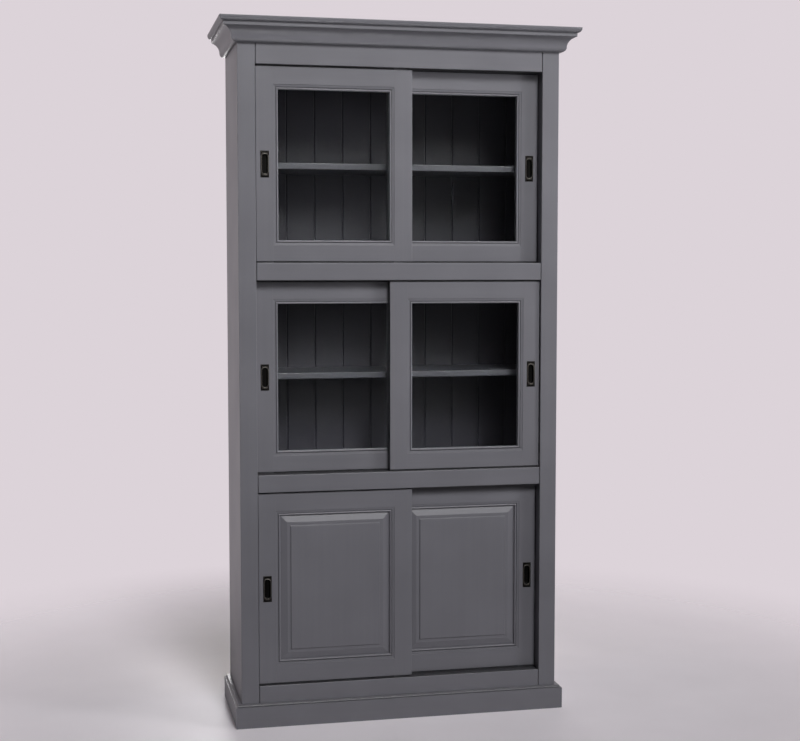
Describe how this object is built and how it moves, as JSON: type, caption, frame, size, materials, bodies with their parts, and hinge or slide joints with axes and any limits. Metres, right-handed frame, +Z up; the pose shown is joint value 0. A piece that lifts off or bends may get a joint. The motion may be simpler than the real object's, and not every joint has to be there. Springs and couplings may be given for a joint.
{
  "type": "sliding-door kitchen cabinet",
  "caption": "Tall shallow cupboard in tiers: paired sliding glazed doors above paired sliding fielded-panel doors, flush finger pulls, moulded cornice and plinth.",
  "frame": {"origin": "on the floor, at the centre of the overall footprint, cornice included", "axes": "+X across the front to the right, +Y from the doors to the back, +Z up"},
  "size_m": [1.112, 0.4, 2.138],
  "materials": {
    "painted_wood": "satin mid-grey paint, brushed along the grain",
    "dark_wood": "dark stained boards, matt",
    "bare_wood": "bare planed softwood",
    "glass": "clear sheet glass",
    "dark_bronze": "blackened bronze, satin, rubbed on the rim"
  },
  "bodies": {
    "case": {"bottom_rail": "painted_wood", "lower_middle_rail": "painted_wood", "upper_middle_rail": "painted_wood", "top_rail": "painted_wood", "left_post": "painted_wood", "right_post": "painted_wood", "left_side_panel": "painted_wood", "right_side_panel": "painted_wood", "bottom_board": "dark_wood", "lower_deck": "dark_wood", "upper_deck": "dark_wood", "top_board": "bare_wood", "lower_shelf": "dark_wood", "middle_shelf": "dark_wood", "upper_shelf": "dark_wood", "shelf_cleats": "dark_wood", "back_boards": "dark_wood", "cornice_front": "painted_wood", "cornice_left_return": "painted_wood", "cornice_right_return": "painted_wood", "plinth_front": "painted_wood", "plinth_left_return": "painted_wood", "plinth_right_return": "painted_wood", "cornice_blocks": "bare_wood", "plinth_back": "bare_wood", "plinth_blocks": "bare_wood"},
    "lower_left_door": {"lower_left_outer_stile": "painted_wood", "lower_left_meeting_stile": "painted_wood", "lower_left_rails": "painted_wood", "lower_left_panel": "painted_wood", "lower_left_pull": "dark_bronze"},
    "lower_right_door": {"lower_right_outer_stile": "painted_wood", "lower_right_meeting_stile": "painted_wood", "lower_right_rails": "painted_wood", "lower_right_panel": "painted_wood", "lower_right_pull": "dark_bronze"},
    "middle_left_door": {"middle_left_outer_stile": "painted_wood", "middle_left_meeting_stile": "painted_wood", "middle_left_rails": "painted_wood", "middle_left_glass": "glass", "middle_left_beads": "painted_wood", "middle_left_pull": "dark_bronze"},
    "middle_right_door": {"middle_right_outer_stile": "painted_wood", "middle_right_meeting_stile": "painted_wood", "middle_right_rails": "painted_wood", "middle_right_glass": "glass", "middle_right_beads": "painted_wood", "middle_right_pull": "dark_bronze"},
    "upper_left_door": {"upper_left_outer_stile": "painted_wood", "upper_left_meeting_stile": "painted_wood", "upper_left_rails": "painted_wood", "upper_left_glass": "glass", "upper_left_beads": "painted_wood", "upper_left_pull": "dark_bronze"},
    "upper_right_door": {"upper_right_outer_stile": "painted_wood", "upper_right_meeting_stile": "painted_wood", "upper_right_rails": "painted_wood", "upper_right_glass": "glass", "upper_right_beads": "painted_wood", "upper_right_pull": "dark_bronze"}
  },
  "joints": [
    {"name": "lower_left_door_slide", "type": "slide", "parent": "case", "child": "lower_left_door", "axis": [1, 0, 0], "range_m": [0, 0.41]},
    {"name": "lower_right_door_slide", "type": "slide", "parent": "case", "child": "lower_right_door", "axis": [1, 0, 0], "range_m": [-0.41, 0]},
    {"name": "middle_left_door_slide", "type": "slide", "parent": "case", "child": "middle_left_door", "axis": [1, 0, 0], "range_m": [0, 0.41]},
    {"name": "middle_right_door_slide", "type": "slide", "parent": "case", "child": "middle_right_door", "axis": [1, 0, 0], "range_m": [-0.41, 0]},
    {"name": "upper_left_door_slide", "type": "slide", "parent": "case", "child": "upper_left_door", "axis": [1, 0, 0], "range_m": [0, 0.41]},
    {"name": "upper_right_door_slide", "type": "slide", "parent": "case", "child": "upper_right_door", "axis": [1, 0, 0], "range_m": [-0.41, 0]}
  ]
}
